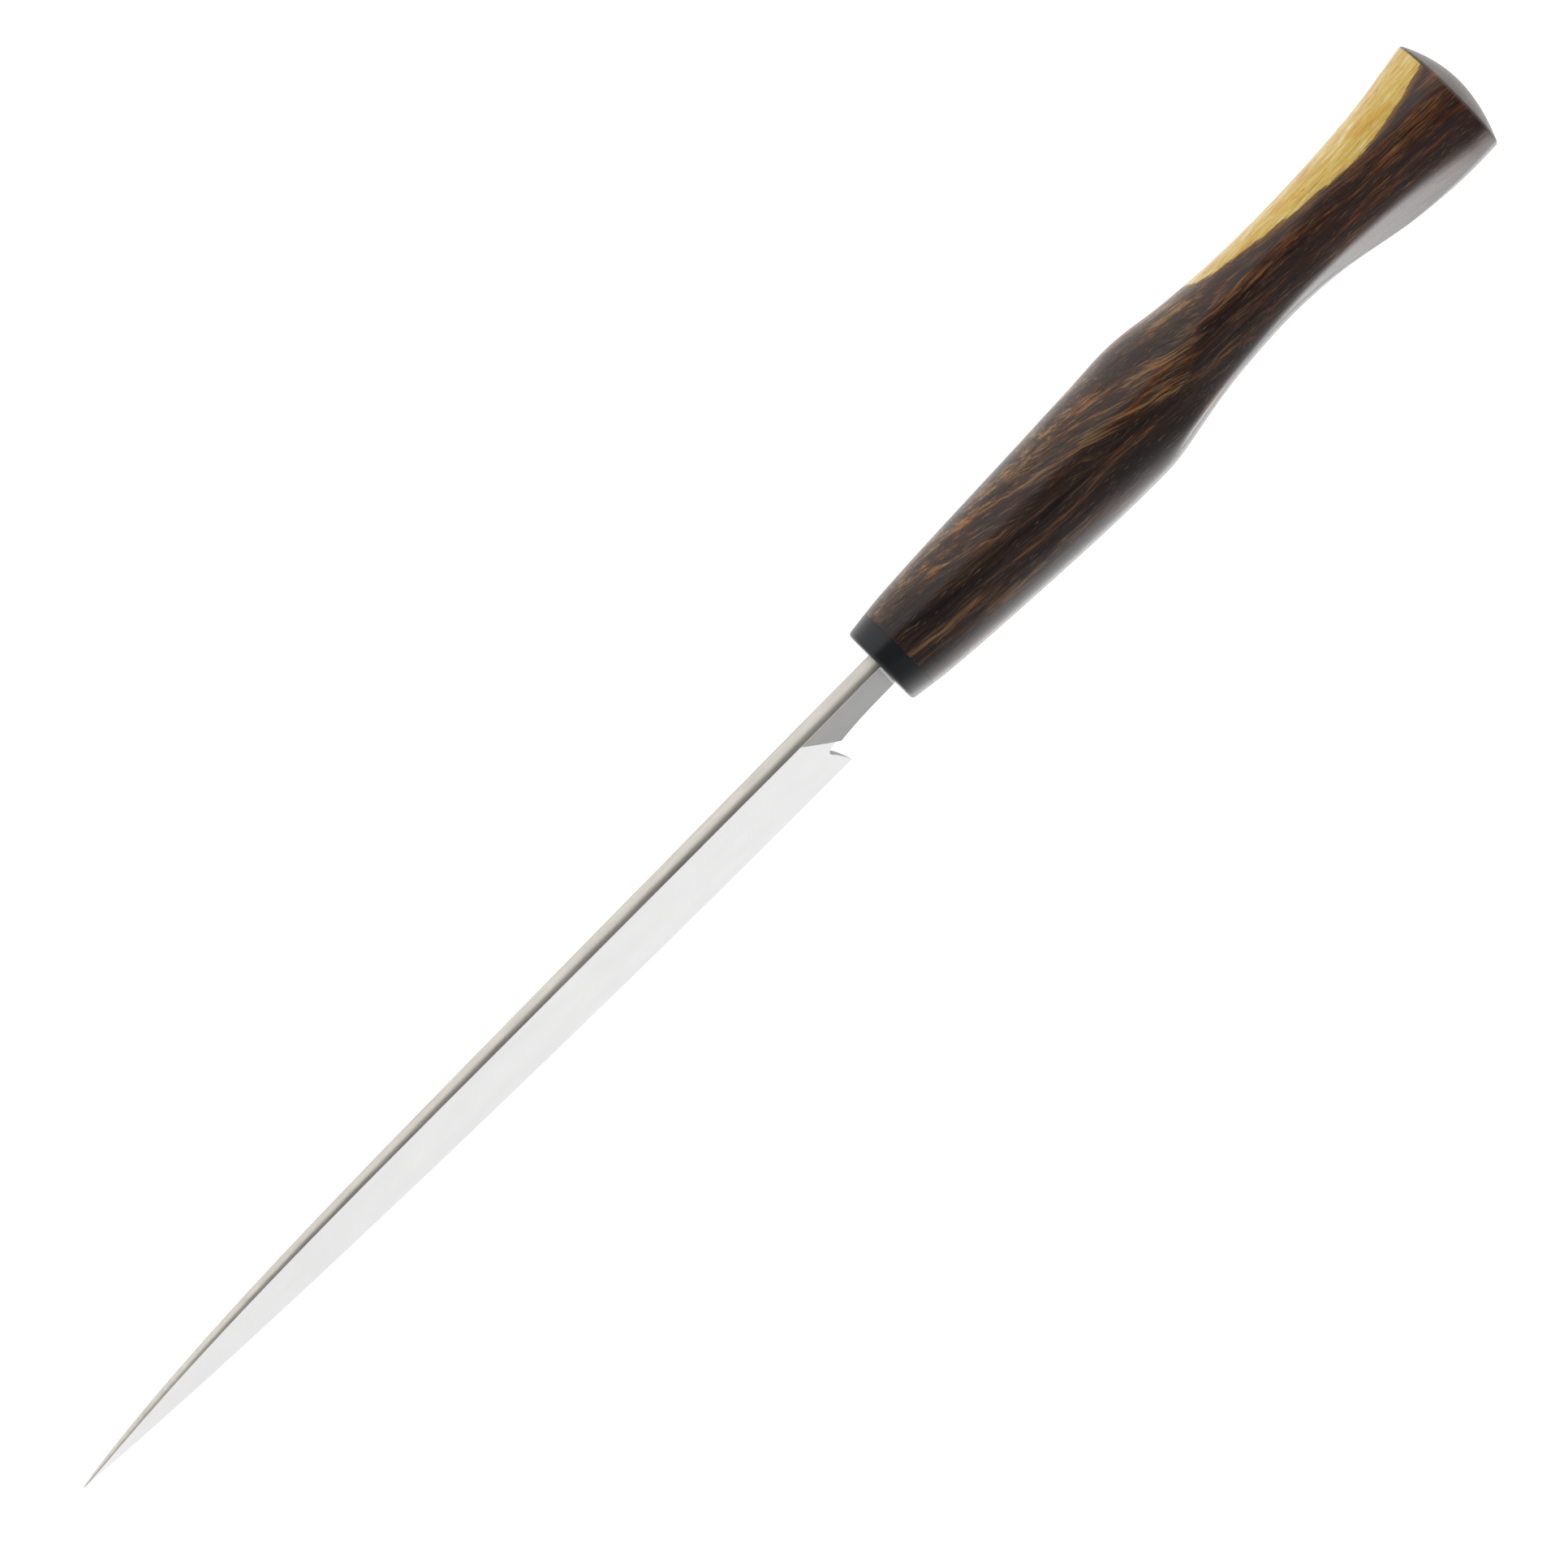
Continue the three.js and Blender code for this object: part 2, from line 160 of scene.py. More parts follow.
# Sizes of the wood's marks along the handle, across the layers and along them
WANDER = (16, 3.5, 7)
BAND = (26, 2.6, 4)
STREAK = (9, 0.42, 0.8)
VEIN = (17, 0.7, 1.3)
FIBRE = (4, 0.15, 0.3)
WARM_PATCH = (7, 1.4, 3)
SAP_STREAK = (4.5, 0.45, 1.4)
SAP_PATCH = (7, 3, 4)
SAP_TOOTH = (4, 0.7, 1)
PORE = (2.4, 0.2, 0.2)

# Colours of the wood
HEARTWOOD = [
    (0.44, (0.0155, 0.0094, 0.0085)),
    (0.51, (0.028, 0.016, 0.012)),
    (0.55, (0.042, 0.023, 0.016)),
    (0.585, (0.065, 0.033, 0.019)),
    (0.62, (0.105, 0.056, 0.027)),
    (0.66, (0.168, 0.093, 0.036)),
    (0.72, (0.237, 0.138, 0.05)),
]
SAPWOOD = [
    (0.34, (0.44, 0.24, 0.036)),
    (0.49, (0.52, 0.36, 0.075)),
    (0.58, (0.56, 0.42, 0.13)),
    (0.66, (0.64, 0.52, 0.28)),
]
WARM_TINT = (1.12, 0.84, 0.62)
REAR_TINT = (1.12, 0.87, 0.72)
VEIN_TINT = (0.25, 0.25, 0.3)
SAP_TINT = (0.98, 0.84, 0.5)
BESIDE_SAP = (0.036, 0.024, 0.02)
SAP_EDGE = (0.2, 0.105, 0.038)
END_GRAIN = (0.1, 0.094, 0.086)
HEART_PORE = (0.16, 0.09, 0.04)
SAP_PORE = (0.18, 0.11, 0.05)

# Studio: share of the half turn from the camera's side over the top to the back, and brightness there
SKY = [
    (0, 0.26), (0.05, 0.13), (0.1, 0.08), (0.34, 0.1), (0.37, 0.34), (0.42, 0.36), (0.48, 0.3),
    (0.61, 0.38), (0.7, 0.92), (0.79, 1.55), (0.84, 1.75), (0.93, 1.5), (0.965, 2.4), (1, 2.6),
]
SIDE_SKY = 0.7  # to the left and right
SIDE_START = 0.55  # it fills every direction whose sideways part is more than this
FLOOR_REACH = 8  # in metres
FLOOR_GLOW = 1.1
FILL_PLACE = (0, -1.2, 1.1)  # in metres
FILL_SIZE = 1.6
FILL_POWER = 3

# Camera
CAMERA_TILT = math.radians(16.5)  # above the plane of the blade, seen from the spine
CAMERA_DISTANCE = 2000
CAMERA_TARGET = (22.75, 3.0, 2.6)
PIXEL_SIZE = 0.1221  # at the knife
IMAGE_WIDTH = 1932
SENSOR_WIDTH = 36
VIEW_DEPTH = 50  # in metres
KNIFE_SLOPE = (0.70344, 0.71077)  # the knife's axis in the picture, leftwards and downwards

TIP_X = NECK_LENGTH + BLADE_LENGTH

# The knife's origin in the frame
blade_low, blade_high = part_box("blade")
ORIGIN = Vector((
    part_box("ferrule")[1][0],
    blade_low[1] + SPINE_CROWN * RICASSO_THICKNESS * MM,
    (blade_low[2] + blade_high[2]) / 2,
))


def place(point):
    return ORIGIN + Vector(point) * MM


def smooth(share):
    share = min(max(share, 0), 1)
    return share * share * (3 - 2 * share)


def between(start, end, share):
    return start + (end - start) * share


def shares(count):
    return [i / count for i in range(count + 1)]


# Meshes

class Skin:
    """A mesh put together from patches of points, which are merged where they touch."""

    def __init__(self):
        self.mesh = bmesh.new()

    def patch(self, rows, material=0):
        rows = [[self.mesh.verts.new(place(point)) for point in row] for row in rows]
        for row, following in zip(rows, rows[1:]):
            for i in range(len(row) - 1):
                face = self.mesh.faces.new((row[i], row[i + 1], following[i + 1], following[i]))
                face.material_index = material

    def tube(self, loops, material=0):
        self.patch([loop + loop[:1] for loop in loops], material)

    def fan(self, loop, centre, material=0):
        self.tube([loop, [centre] * len(loop)], material)

    def piece(self, node, slot, materials, sharp_angle):
        """Makes the object that stands for a CAD node."""
        bmesh.ops.remove_doubles(self.mesh, verts=self.mesh.verts, dist=MERGE_DISTANCE)
        bmesh.ops.recalc_face_normals(self.mesh, faces=self.mesh.faces)
        data = bpy.data.meshes.new(node + "_looks")
        self.mesh.to_mesh(data)
        self.mesh.free()
        data.shade_smooth()
        data.set_sharp_from_angle(angle=math.radians(sharp_angle))
        for material in materials:
            data.materials.append(material)
        piece = bpy.data.objects.new(node + "_looks", data)
        bpy.context.scene.collection.objects.link(piece)
        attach(piece, "root")
        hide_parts(node)


def tang_section(x, loop, size):
    """A loop's points drawn in to the tang's rectangle."""
    thickness, depth = size
    top = TANG_CENTRE - depth / 2
    bottom = TANG_CENTRE + depth / 2
    side = thickness / 2
    return [(x, min(max(y, top), bottom), min(max(z, -side), side)) for _, y, z in loop]


# Blade curves

def spine_at(x):
    share = max(0, (x - SPINE_BEND_X) / (TIP_X - SPINE_BEND_X))
    return TIP_DROP * share ** SPINE_BEND_POWER


def edge_at(x):
    share = max(0, (x - NECK_LENGTH) / BLADE_LENGTH)
    curve = EDGE_SLOPE_SHARE * share + EDGE_CURVE_SHARE * share ** 2
    turn = EDGE_TIP_SHARE * share ** EDGE_TIP_POWER
    return HEEL_DEPTH - (HEEL_DEPTH - TIP_DROP) * (curve + turn)


def thickness_at(x):
    share = min(max(0, (x - PLUNGE_TOP_X) / (TIP_X - PLUNGE_TOP_X)), 1)
    return SPINE_THICKNESS * (1 - share) ** DISTAL_POWER


def bevel_at(x):
    """Depth of the small bevel at the cutting edge."""
    return min(EDGE_BEVEL_DEPTH, EDGE_BEVEL_SHARE * (edge_at(x) - spine_at(x)))


def neck_depth_at(x):
    share = min(x / NECK_CORNER_X, 1)
    short = max(JOINT_GAP + SHOULDER_ROUND - x, 0)
    corner = SHOULDER_ROUND - math.sqrt(SHOULDER_ROUND ** 2 - short ** 2)
    return NECK_DEPTH + (NECK_CORNER_DEPTH - NECK_DEPTH) * share ** NECK_CURVE_POWER - corner


def easing_at(x):
    """Share of the spine's eased corner that is left."""
    fade = smooth((x - PLUNGE_TOP_X) / (EASING_END_X - PLUNGE_TOP_X))
    return between(1, BEVEL_EASING, fade) * thickness_at(x) / SPINE_THICKNESS


def plunge_x(y):
    return PLUNGE_TOP_X - (PLUNGE_TOP_X - NECK_CORNER_X) * y / NECK_CORNER_DEPTH


def bend(start, pull, end, y):
    """X where a quadratic curve between two points passes a level."""
    a = start[1] - 2 * pull[1] + end[1]
    b = pull[1] - start[1]
    share = (math.sqrt(b * b + a * (y - start[1])) - b) / a
    return (1 - share) ** 2 * start[0] + 2 * share * (1 - share) * pull[0] + share ** 2 * end[0]


def blade_back_x(y):
    """Back end of the bevelled blade: the plunge line, then the notch above the heel."""
    if y <= NECK_CORNER_DEPTH:
        return plunge_x(y)
    if y <= CHOIL_APEX[1]:
        return bend((NECK_CORNER_X, NECK_CORNER_DEPTH), CHOIL_UPPER_BEND, CHOIL_APEX, y)
    return bend(CHOIL_APEX, CHOIL_LOWER_BEND, (NECK_LENGTH, HEEL_DEPTH), min(y, HEEL_DEPTH))


def half_thickness(x, y):
    """Half the bevel's thickness, with the rounded plunge that leads up to the ricasso."""
    spine = spine_at(x)
    thickness = thickness_at(x)
    behind_edge = min(EDGE_BEVEL_THICKNESS, EDGE_THICKNESS_SHARE * thickness) / 2
    depth = max(edge_at(x) - bevel_at(x) - spine, LEAST_DEPTH)
    ground = between(thickness / 2, behind_edge, min(max((y - spine) / depth, 0), 1))
    ahead = (x - plunge_x(y)) / PLUNGE_FILLET
    return ground + (RICASSO_THICKNESS / 2 - ground) * max(0, 1 - ahead) ** 2


def crown(x, level, half):
    """The rounded spine, from left to right."""
    points = []
    for share in shares(CROWN_STEPS):
        side = 1 - 2 * share
        rise = SPINE_CROWN * 2 * half * (1 - side ** 2)
        points.append((x, level - rise, side * half))
    return points


def mirrored(row):
    """A row of points on the blade's other side."""
    return [(x, y, -z) for x, y, z in row]


def build_blade(face_steel, ricasso_steel, spine_steel, highlight_steel):
    skin = Skin()
    face, ricasso, spine, painted_highlight = range(4)
    upper = [between(EASING_DEPTH, NECK_CORNER_DEPTH, share) for share in shares(RICASSO_ROWS)]
    heel_bevel = HEEL_DEPTH - EDGE_BEVEL_DEPTH
    lower = [between(NECK_CORNER_DEPTH, heel_bevel, share ** 2) for share in shares(HEEL_ROWS)]
    highlight_end_x = JOINT_GAP + SHOULDER_HIGHLIGHT_WIDTH

    # Left side of the ricasso, from the shoulder to the plunge line
    shoulder, flat = [], []
    for level in upper:
        share = (level - EASING_DEPTH) / (NECK_CORNER_DEPTH - EASING_DEPTH)
        along = [between(JOINT_GAP, highlight_end_x, step) for step in shares(SHOULDER_STEPS)]
        along += [between(highlight_end_x, plunge_x(level), step) for step in shares(RICASSO_STEPS)[1:]]
        row = [(x, between(EASING_DEPTH, neck_depth_at(x), share), RICASSO_THICKNESS / 2) for x in along]
        shoulder.append(row[:SHOULDER_STEPS + 1])
        flat.append(row[SHOULDER_STEPS:])

    # Left side of the bevelled blade, from the plunge line and the notch to the tip
    ground = []
    for level in upper + lower[1:]:
        share = (level - EASING_DEPTH) / (heel_bevel - EASING_DEPTH)
        row = []
        for step in shares(BLADE_STEPS):
            x = between(blade_back_x(level), TIP_X, smooth(step))
            y = between(spine_at(x) + EASING_DEPTH * easing_at(x), edge_at(x) - bevel_at(x), share)
            row.append((x, y, half_thickness(x, y)))
        ground.append(row)
    ground.append([(x, edge_at(x), 0) for x, _, _ in ground[-1]])
    ground[-1][0] = (NECK_LENGTH, HEEL_DEPTH, 0)

    # The strip next to the ferrule gets the lighter steel of the painted highlight
    for side, material in ((shoulder, painted_highlight), (flat, ricasso), (ground, face)):
        skin.patch(side, material)
        skin.patch([mirrored(row) for row in side], material)

    # The spine, with its eased corners
    for top in (shoulder[0], flat[0], ground[0]):
        rows = []
        for x, y, half in top:
            arc = crown(x, spine_at(x), half - EASING_WIDTH * easing_at(x))
            rows.append([(x, y, half), *arc, (x, y, -half)])
        skin.patch(rows, spine)

    # Underside of the neck and the wall of the notch
    notch = [row[0] for row in ground[len(upper) - 1:]]
    for side in (shoulder[-1], flat[-1], notch):
        skin.patch([side, mirrored(side)], ricasso)

    # Back of the ricasso, and the tang
    left = [row[0] for row in shoulder]
    arc = crown(JOINT_GAP, 0, RICASSO_THICKNESS / 2 - EASING_WIDTH)
    loop = left + mirrored(reversed(left)) + list(reversed(arc))
    tang_back = tang_section(JOINT_GAP, loop, TANG_FRONT)
    thin, narrow = (end / front for end, front in zip(TANG_END, TANG_FRONT))
    tang_end = [
        (-TANG_LENGTH, TANG_CENTRE + (y - TANG_CENTRE) * narrow, z * thin) for _, y, z in tang_back
    ]
    skin.tube([loop, tang_back, tang_end], ricasso)
    skin.fan(tang_end, (-TANG_LENGTH, TANG_CENTRE, 0), ricasso)
    steels = [face_steel, ricasso_steel, spine_steel, highlight_steel]
    skin.piece("blade", "blade_steel", steels, BLADE_SHARP_ANGLE)


# Handle curves

def profile(points):
    """A smooth curve of size against distance through a few points."""
    slopes = []
    for i in range(len(points)):
        before = points[max(i - 1, 0)]
        after = points[min(i + 1, len(points) - 1)]
        slopes.append((after[1] - before[1]) / (after[0] - before[0]))

    def size_at(distance):
        i = sum(1 for point in points[1:-1] if point[0] <= distance)
        (x0, y0), (x1, y1) = points[i], points[i + 1]
        span = x1 - x0
        t = (distance - x0) / span
        turn = y0 + (y1 - y0) * t * t * (3 - 2 * t)
        return turn + span * t * (1 - t) * ((1 - t) * slopes[i] - t * slopes[i + 1])

    return size_at


top_at = profile(TOP_LINE)
arch_centre_at = profile(ARCH_CENTRE)
arch_width_at = profile(ARCH_WIDTH)
ground_side_at = profile(GROUND_SIDES)
sharpness_at = profile(SIDE_SHARPNESS)
taper_at = profile(SIDE_TAPER)
widest_at = profile(WIDEST_LINE)
belly_at = profile(BELLY_LINE)


def handle_oval(distance, inset=0):
    """The handle's section as (y, z) points: a half oval for the belly, then an arch cut by flat sides."""
    widest = widest_at(distance)
    centre = arch_centre_at(distance)
    rise = centre - top_at(distance) - inset
    below = belly_at(distance) - widest - inset
    width = arch_width_at(distance) - inset
    sharpness = sharpness_at(distance)
    arch_end = math.acos((centre - widest) / rise)

    def arch_point(turn):
        y = centre - rise * math.cos(turn)
        z = width * math.sin(turn)
        side = ground_side_at(distance) - inset - taper_at(distance) * y
        return (y, z / (1 + (z / side) ** sharpness) ** (1 / sharpness))

    half = arch_point(arch_end)[1]
    left = []
    for share in shares(BELLY_STEPS)[:-1]:
        turn = share * math.pi / 2
        left.append((widest + below * math.cos(turn), half * math.sin(turn)))
    left += [arch_point(arch_end * share) for share in reversed(shares(ARCH_STEPS))]
    return left + [(y, -z) for y, z in reversed(left[1:-1])]


def handle_loop(distance, inset=0):
    return [(-distance, y, z) for y, z in handle_oval(distance, inset)]


def butt_loops():
    """The domed butt, from its rim to its top."""
    rim_x = DOME_HEIGHT - HANDLE_LENGTH
    loops = []
    for share in shares(RIM_STEPS):
        turn = RIM_TURN * share
        x = rim_x + RIM_RADIUS * (math.sin(RIM_TURN) - math.sin(turn))
        loops.append([(x, y, z) for y, z in handle_oval(RIM_DISTANCE, RIM_RADIUS * (1 - math.cos(turn)))])
    dome_edge = loops[-1]
    for share in shares(DOME_STEPS)[1:-1]:
        scale = 1 - share
        x = DOME_HEIGHT * scale ** 2 - HANDLE_LENGTH
        loops.append([(x, DOME_CENTRE + scale * (y - DOME_CENTRE), scale * z) for _, y, z in dome_edge])
    return loops


def build_ferrule(material):
    skin = Skin()
    back = FERRULE_LENGTH
    wall = [between(back, FERRULE_EDGE_RADIUS, share) for share in shares(FERRULE_STEPS)[:-1]]
    loops = [handle_loop(distance) for distance in wall]
    for share in shares(RIM_STEPS):
        turn = share * math.pi / 2
        distance = FERRULE_EDGE_RADIUS * (1 - math.sin(turn))
        loops.append(handle_loop(distance, FERRULE_EDGE_RADIUS * (1 - math.cos(turn))))
    slot = [size + 2 * GLUE_LINE for size in TANG_FRONT]
    slot_front = tang_section(0, loops[-1], slot)
    slot_back = tang_section(-back, loops[-1], slot)
    skin.tube([*loops, slot_front, slot_back, loops[0]])
    skin.piece("ferrule", "ferrule_black", [material], HANDLE_SHARP_ANGLE)


def build_handle(material):
    skin = Skin()
    front = FERRULE_LENGTH + JOINT_GAP
    wall = [between(front, HANDLE_WALL_END, share) for share in shares(HANDLE_STEPS)]
    loops = [handle_loop(distance) for distance in wall] + butt_loops()
    mortise = [size + 2 * GLUE_LINE for size in BEDDING]
    mortise_end = -FERRULE_LENGTH - GLUE_LINE - BEDDING_LENGTH - GLUE_LINE
    opening = tang_section(-front, loops[0], mortise)
    bottom = tang_section(mortise_end, loops[0], mortise)
    skin.tube([bottom, opening, *loops])
    skin.fan(loops[-1], (-HANDLE_LENGTH, DOME_CENTRE, 0))
    skin.fan(bottom, (mortise_end, TANG_CENTRE, 0))
    skin.piece("handle_body", "handle_wood", [material], HANDLE_SHARP_ANGLE)


# Materials

class Nodes:
    """Builds a node tree. Inputs are numbers, colours, vectors or the outputs of earlier nodes."""

    def __init__(self, tree):
        self.tree = tree

    def plug(self, socket, value):
        if isinstance(value, bpy.types.NodeSocket):
            self.tree.links.new(value, socket)
        elif isinstance(value, tuple) and socket.type == "RGBA":
            socket.default_value = (*value, 1)
        else:
            socket.default_value = value

    def node(self, kind, inputs, **settings):
        node = self.tree.nodes.new("ShaderNode" + kind)
        for name, value in settings.items():
            setattr(node, name, value)
        for name, value in inputs.items():
            self.plug(node.inputs[name], value)
        return node

    def math(self, operation, *values):
        return self.node("Math", dict(enumerate(values)), operation=operation).outputs[0]

    def vector(self, operation, *values):
        node = self.node("VectorMath", dict(enumerate(values)), operation=operation)
        return node.outputs["Value" if operation == "DOT_PRODUCT" else "Vector"]

    def split(self, vector):
        return self.node("SeparateXYZ", {0: vector}).outputs

    def join(self, x, y, z):
        return self.node("CombineXYZ", {0: x, 1: y, 2: z}).outputs[0]

    def noise(self, vector, size, detail, roughness=0.5):
        """Noise in cells of a size, given for X, Y and Z."""
        place_in_cells = self.vector("DIVIDE", vector, Vector(size))
        inputs = {"Vector": place_in_cells, "Scale": 1.0, "Detail": detail, "Roughness": roughness}
        return self.node("TexNoise", inputs).outputs[0]

    def excess(self, value, limit):
        """How far a value is past a limit, and 0 before it."""
        return self.math("MAXIMUM", self.math("SUBTRACT", value, limit), 0)

    def step(self, value, start, end, top=1):
        """0 before the start, the top past the end and smooth between."""
        inputs = {"Value": value, "From Min": start, "From Max": end, "To Max": top}
        return self.node("MapRange", inputs, interpolation_type="SMOOTHSTEP").outputs[0]

    def scaled(self, value, low, high):
        """A value from 0 to 1 turned into one from low to high."""
        return self.node("MapRange", {"Value": value, "To Min": low, "To Max": high}).outputs[0]

    def mix(self, share, first, second, blend="MIX"):
        node = self.node("Mix", {0: share, 6: first, 7: second}, data_type="RGBA", blend_type=blend)
        return node.outputs[2]

    def ramp(self, value, stops):
        node = self.node("ValToRGB", {0: value})
        elements = node.color_ramp.elements
        while len(elements) < len(stops):
            elements.new(0.5)
        for element, (position, colour) in zip(elements, stops):
            element.position = position
            element.color = (*colour, 1)
        return node.outputs[0]

    def bump(self, height, strength, distance):
        return self.node("Bump", {"Height": height, "Strength": strength, "Distance": distance}).outputs[0]


class Shader(Nodes):
    """A material. Its position is in the knife's own millimetres."""

    def __init__(self, name):
        self.material = bpy.data.materials.new(name)
        self.material.use_nodes = True
        super().__init__(self.material.node_tree)
        coordinates = self.node("TexCoord", {}).outputs["Object"]
        self.position = self.vector("MULTIPLY_ADD", coordinates, Vector((1 / MM,) * 3), -ORIGIN / MM)

    def surface(self, inputs):
        sockets = self.tree.nodes["Principled BSDF"].inputs
        for name, value in inputs.items():
            self.plug(sockets[name], value)
        return self.material


def steel_material(name, colour, roughness, scratch_turn, contrast=0.07):
    """Satin steel with fine grinding lines."""
    m = Shader(name)
    turn = math.radians(scratch_turn)
    along = m.vector("DOT_PRODUCT", m.position, Vector((math.cos(turn), math.sin(turn), 0)))
    across = m.vector("DOT_PRODUCT", m.position, Vector((-math.sin(turn), math.cos(turn), 0)))
    lines = m.noise(m.join(along, across, m.split(m.position)[2]), GRINDING_LINE, 4, 0.65)
    clouds = m.noise(m.position, (8, 8, 8), 3)
    tone = m.math("MULTIPLY_ADD", clouds, 0.5, lines)
    darker = tuple((1 - contrast) * part for part in colour)
    lighter = tuple((1 + contrast) * part for part in colour)
    return m.surface({
        "Base Color": m.ramp(tone, [(0.5, darker), (1, lighter)]),
        "Metallic": 1.0,
        "Roughness": m.scaled(lines, roughness - ROUGHNESS_SPREAD, roughness + ROUGHNESS_SPREAD),
        "Normal": m.bump(lines, 0.06, 0.02 * MM),
    })


def ferrule_material():
    m = Shader("ferrule_black")
    speckle = m.noise(m.position, (0.11, 0.11, 0.11), 3, 0.6)
    clouds = m.noise(m.position, (2, 2, 2), 2)
    return m.surface({
        "Base Color": m.ramp(speckle, [(0.3, (0.004, 0.0047, 0.006)), (0.75, (0.008, 0.009, 0.0112))]),
        "Roughness": m.scaled(clouds, 0.26, 0.34),
        "IOR": 1.42,
        "Normal": m.bump(speckle, 0.05, 0.02 * MM),
    })


class Wood(Shader):
    """Dark wood in layers, with sapwood along the right of the rear half."""

    def __init__(self):
        super().__init__("handle_wood")
        lean = math.sin(LAYER_TILT)
        rise = math.cos(LAYER_TILT)
        self.x = self.split(self.position)[0]
        self.across = self.vector("DOT_PRODUCT", self.position, Vector((0, lean, rise)))
        self.depth = self.vector("DOT_PRODUCT", self.position, Vector((0, -rise, lean)))
        self.plank = self.join(self.x, self.across, self.depth)
        self.wander = self.noise(self.plank, WANDER, 2)
        self.rear_share = self.step(self.x, SLANT_END_X, SLANT_END_X - REAR_FADE)
        self.level_share = self.level_layers()
        self.end_grain = self.step(self.x, END_GRAIN_X, END_GRAIN_X - END_GRAIN_FADE)

    def level_layers(self):
        """0 on the right of the front half, where the layers climb at a slant, and 1 elsewhere."""
        limit = self.math("MULTIPLY_ADD", self.x, -0.11, -2.8)
        limit = self.math("MULTIPLY_ADD", self.excess(SLANT_END_X, self.x), -0.6, limit)
        limit = self.math("MULTIPLY_ADD", self.math("SUBTRACT", self.wander, 0.5), 9, limit)
        return self.step(self.math("SUBTRACT", self.across, limit), -1.8, 1.8)

    def blend(self, slanted, level):
        change = self.math("SUBTRACT", level, slanted)
        return self.math("MULTIPLY_ADD", change, self.level_share, slanted)

    def marks(self, slope):
        """Bands, streaks, black veins and fibres of layers that climb at a slope."""
        climb = self.math("MULTIPLY_ADD", self.x, slope, self.across)
        layers = self.math("MULTIPLY_ADD", self.wander, 2.2, climb)
        grain = self.join(self.x, layers, self.depth)
        return (
            self.noise(grain, BAND, 3, 0.55),
            self.noise(grain, STREAK, 5, 0.7),
            self.noise(grain, VEIN, 3, 0.6),
            self.noise(grain, FIBRE, 2),
        )

    def figure(self):
        pairs = zip(self.marks(SLANTED_SLOPE), self.marks(LEVEL_SLOPE))
        return [self.blend(slanted, level) for slanted, level in pairs]

    def heartwood(self, bands, streaks, veins, fibres):
        streak_tone = self.math("MULTIPLY_ADD", bands, 0.5, streaks)
        streak_strength = self.scaled(self.level_share, 0.125, 0.115)
        tone = self.step(streak_tone, 0.71, 0.89, streak_strength)
        tone = self.math("MULTIPLY_ADD", bands, 0.3, tone)
        tone = self.math("ADD", tone, self.step(fibres, 0.35, 0.65, 0.06))
        # In the slanted zone the tone is set higher and grows lighter further round the right side, towards
        # the floor. This is partly the wood's own colour and partly painted sheen, which stands in for the
        # brown glow that light from the floor raises in the wood there.
        slanted_tone_and_sheen = self.math("MULTIPLY_ADD", self.across, -0.007, 0.343)
        level_tone = self.scaled(self.rear_share, 0.285, 0.322)
        tone = self.math("ADD", tone, self.blend(slanted_tone_and_sheen, level_tone))
        colour = self.ramp(tone, HEARTWOOD)
        warm = self.noise(self.plank, WARM_PATCH, 3)
        colour = self.mix(self.step(warm, 0.48, 0.62), colour, WARM_TINT, "MULTIPLY")
        colour = self.mix(self.rear_share, colour, REAR_TINT, "MULTIPLY")
        return self.mix(self.step(veins, 0.53, 0.62, 0.65), colour, VEIN_TINT, "MULTIPLY")

    def sapwood(self):
        grain = self.join(self.x, self.math("MULTIPLY_ADD", self.x, -0.03, self.across), self.depth)
        colour = self.ramp(self.noise(grain, SAP_STREAK, 4, 0.65), SAPWOOD)
        patches = self.noise(self.plank, SAP_PATCH, 2)
        return self.mix(self.step(patches, 0.5, 0.66), colour, SAP_TINT, "MULTIPLY")

    def inside_sapwood(self):
        """How far a place is inside the sapwood's ragged edge, in millimetres. The butt has none."""
        ahead = self.math("POWER", self.excess(self.x, SAP_PEAK_X), 1.5)
        behind = self.math("POWER", self.excess(SAP_PEAK_X, self.x), 1.5)
        past_start = self.math("POWER", self.excess(self.x, SAP_START_X), 2)
        limit = self.math("MULTIPLY_ADD", ahead, -0.0225, SAP_PEAK)
        limit = self.math("MULTIPLY_ADD", behind, -0.046, limit)
        limit = self.math("MULTIPLY_ADD", past_start, -0.06, limit)
        ragged = self.math("SUBTRACT", self.noise(self.plank, SAP_TOOTH, 4, 0.62), 0.5)
        limit = self.math("MULTIPLY_ADD", ragged, 1.4, limit)
        limit = self.math("SUBTRACT", limit, self.step(self.x, END_GRAIN_X, END_GRAIN_X - 0.2, 20))
        return self.math("SUBTRACT", limit, self.across)


